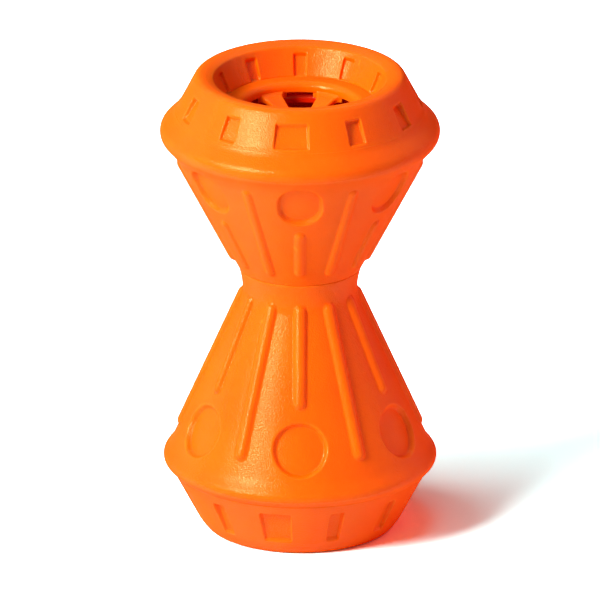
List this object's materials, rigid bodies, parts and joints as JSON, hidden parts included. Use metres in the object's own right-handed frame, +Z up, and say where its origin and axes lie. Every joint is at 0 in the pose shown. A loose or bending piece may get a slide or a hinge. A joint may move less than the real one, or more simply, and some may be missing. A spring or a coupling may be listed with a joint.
{
  "type": "chew toy",
  "caption": "Hourglass rubber treat toy for a dog: hollow cones joined at a ribbed waist, with flexible tongues across each mouth that hold treats in.",
  "frame": {"origin": "middle of the flat face that the toy stands on", "axes": "+Z up along the toy's axis, -Y towards the front that the picture shows, +X to its right"},
  "size_m": [0.0762, 0.0762, 0.1309],
  "materials": {
    "rubber": "satin"
  },
  "bodies": {
    "toy_body": {"upper_shell": "rubber", "lower_shell": "rubber", "mouth_collar": "rubber", "base_collar": "rubber", "waist_sleeve": "rubber", "upper_gate_ring": "rubber", "lower_gate_ring": "rubber"},
    "upper_tongue_1": {"upper_tongue_1": "rubber"},
    "upper_tongue_2": {"upper_tongue_2": "rubber"},
    "upper_tongue_3": {"upper_tongue_3": "rubber"},
    "upper_tongue_4": {"upper_tongue_4": "rubber"},
    "upper_tongue_5": {"upper_tongue_5": "rubber"},
    "upper_tongue_6": {"upper_tongue_6": "rubber"},
    "lower_tongue_1": {"lower_tongue_1": "rubber"},
    "lower_tongue_2": {"lower_tongue_2": "rubber"},
    "lower_tongue_3": {"lower_tongue_3": "rubber"},
    "lower_tongue_4": {"lower_tongue_4": "rubber"},
    "lower_tongue_5": {"lower_tongue_5": "rubber"},
    "lower_tongue_6": {"lower_tongue_6": "rubber"}
  },
  "joints": [
    {"name": "upper_tongue_1_flex", "type": "hinge", "parent": "toy_body", "child": "upper_tongue_1", "pos_m": [0.00775, -0.01342, 0.11918], "axis": [0.866, 0.5, 0], "range_deg": [-45, 20], "stiffness_Nm_per_rad": 0.003},
    {"name": "upper_tongue_2_flex", "type": "hinge", "parent": "toy_body", "child": "upper_tongue_2", "pos_m": [0.0155, 0, 0.11918], "axis": [0, 1, 0], "range_deg": [-45, 20], "stiffness_Nm_per_rad": 0.003},
    {"name": "upper_tongue_3_flex", "type": "hinge", "parent": "toy_body", "child": "upper_tongue_3", "pos_m": [0.00775, 0.01342, 0.11918], "axis": [-0.866, 0.5, 0], "range_deg": [-45, 20], "stiffness_Nm_per_rad": 0.003},
    {"name": "upper_tongue_4_flex", "type": "hinge", "parent": "toy_body", "child": "upper_tongue_4", "pos_m": [-0.00775, 0.01342, 0.11918], "axis": [-0.866, -0.5, 0], "range_deg": [-45, 20], "stiffness_Nm_per_rad": 0.003},
    {"name": "upper_tongue_5_flex", "type": "hinge", "parent": "toy_body", "child": "upper_tongue_5", "pos_m": [-0.0155, 0, 0.11918], "axis": [0, -1, 0], "range_deg": [-45, 20], "stiffness_Nm_per_rad": 0.003},
    {"name": "upper_tongue_6_flex", "type": "hinge", "parent": "toy_body", "child": "upper_tongue_6", "pos_m": [-0.00775, -0.01342, 0.11918], "axis": [0.866, -0.5, 0], "range_deg": [-45, 20], "stiffness_Nm_per_rad": 0.003},
    {"name": "lower_tongue_1_flex", "type": "hinge", "parent": "toy_body", "child": "lower_tongue_1", "pos_m": [0.00775, -0.01342, 0.01172], "axis": [0.866, 0.5, 0], "range_deg": [-20, 45], "stiffness_Nm_per_rad": 0.003},
    {"name": "lower_tongue_2_flex", "type": "hinge", "parent": "toy_body", "child": "lower_tongue_2", "pos_m": [0.0155, 0, 0.01172], "axis": [0, 1, 0], "range_deg": [-20, 45], "stiffness_Nm_per_rad": 0.003},
    {"name": "lower_tongue_3_flex", "type": "hinge", "parent": "toy_body", "child": "lower_tongue_3", "pos_m": [0.00775, 0.01342, 0.01172], "axis": [-0.866, 0.5, 0], "range_deg": [-20, 45], "stiffness_Nm_per_rad": 0.003},
    {"name": "lower_tongue_4_flex", "type": "hinge", "parent": "toy_body", "child": "lower_tongue_4", "pos_m": [-0.00775, 0.01342, 0.01172], "axis": [-0.866, -0.5, 0], "range_deg": [-20, 45], "stiffness_Nm_per_rad": 0.003},
    {"name": "lower_tongue_5_flex", "type": "hinge", "parent": "toy_body", "child": "lower_tongue_5", "pos_m": [-0.0155, 0, 0.01172], "axis": [0, -1, 0], "range_deg": [-20, 45], "stiffness_Nm_per_rad": 0.003},
    {"name": "lower_tongue_6_flex", "type": "hinge", "parent": "toy_body", "child": "lower_tongue_6", "pos_m": [-0.00775, -0.01342, 0.01172], "axis": [0.866, -0.5, 0], "range_deg": [-20, 45], "stiffness_Nm_per_rad": 0.003}
  ]
}
